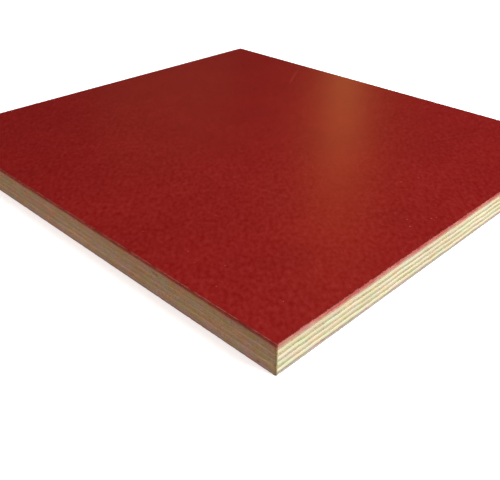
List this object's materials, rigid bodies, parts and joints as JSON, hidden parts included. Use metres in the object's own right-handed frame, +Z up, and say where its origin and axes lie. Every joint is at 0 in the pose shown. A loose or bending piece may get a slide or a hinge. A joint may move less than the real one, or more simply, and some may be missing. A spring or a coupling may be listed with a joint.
{
  "type": "film-faced plywood panel",
  "caption": "Flat sawn piece of plywood with a smooth red resin film on both broad faces and bare crosswise-laid veneers showing on all its edges.",
  "frame": {"origin": "middle of the underside, on the surface the panel lies on", "axes": "+Z up through the thickness, +X along the longer sawn edge, +Y along the shorter sawn edge, which is also the face veneer's grain"},
  "size_m": [0.34, 0.312, 0.018],
  "materials": {
    "red_film": "dark red phenolic resin film, satin, with a fine mottle",
    "veneer_grain_y": "pale birch veneer, sawn edge, grain along Y",
    "veneer_grain_x": "pale birch veneer, sawn edge, grain along X"
  },
  "bodies": {
    "root": {"film_top": "red_film", "veneer_01_face": "veneer_grain_y", "veneer_02_cross": "veneer_grain_x", "veneer_03_long": "veneer_grain_y", "veneer_04_cross": "veneer_grain_x", "veneer_05_long": "veneer_grain_y", "veneer_06_cross": "veneer_grain_x", "veneer_07_long": "veneer_grain_y", "veneer_08_cross": "veneer_grain_x", "veneer_09_long": "veneer_grain_y", "veneer_10_cross": "veneer_grain_x", "veneer_11_back": "veneer_grain_y", "film_bottom": "red_film"}
  },
  "joints": []
}
